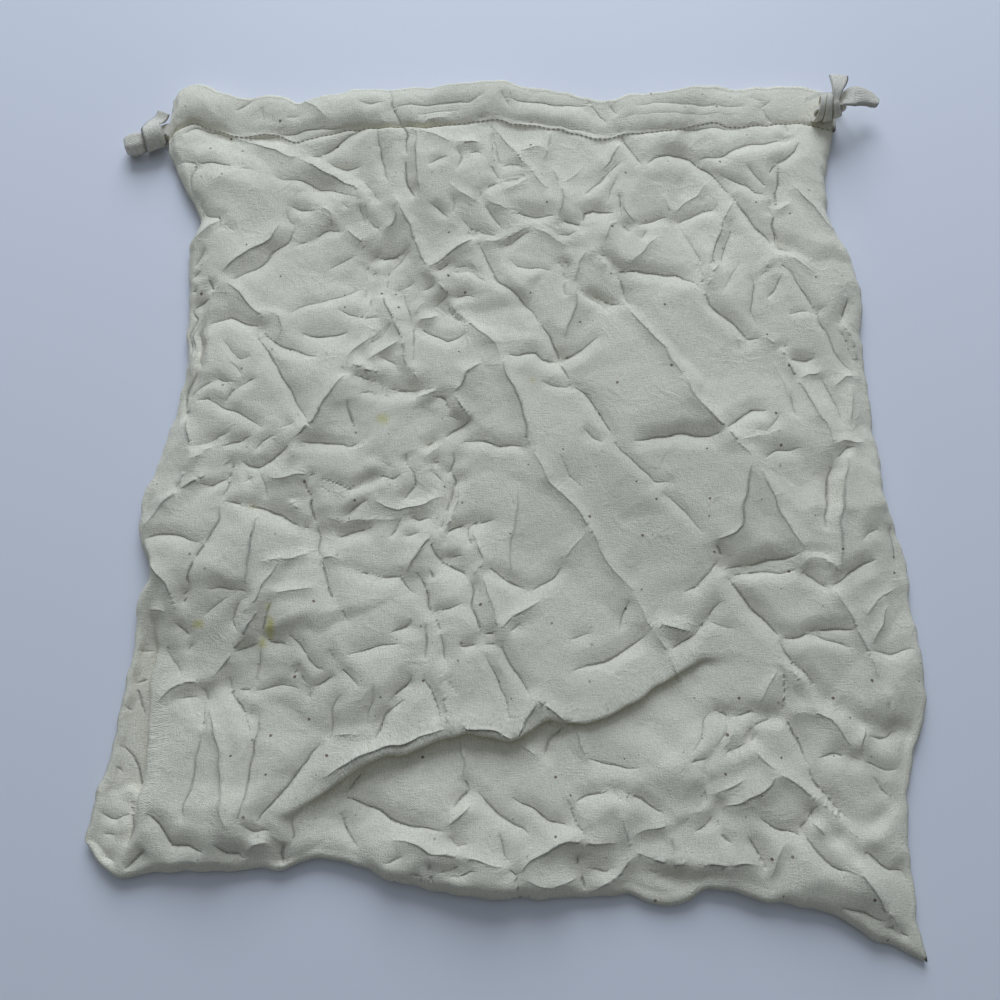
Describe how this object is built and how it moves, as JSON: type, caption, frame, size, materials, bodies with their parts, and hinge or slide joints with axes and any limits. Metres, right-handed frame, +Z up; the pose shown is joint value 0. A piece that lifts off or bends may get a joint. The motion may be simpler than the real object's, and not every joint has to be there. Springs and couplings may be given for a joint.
{
  "type": "drawstring dust bag",
  "caption": "Flat, crumpled calico dust bag lying face up, with a hemmed open mouth and two drawstring tapes, one knotted at each side.",
  "frame": {"origin": "on the surface it lies on, under the middle of the two panels' outline", "axes": "+X to the right as seen from above, +Y towards the mouth, +Z up, out of the front panel"},
  "size_m": [0.4565, 0.4956, 0.0262],
  "materials": {
    "calico": "matt unbleached plain weave",
    "tape": "matt woven cotton tape"
  },
  "bodies": {
    "root": {"front_panel": "calico", "back_panel": "calico", "tie_right": "tape", "tie_left": "tape"}
  },
  "joints": []
}
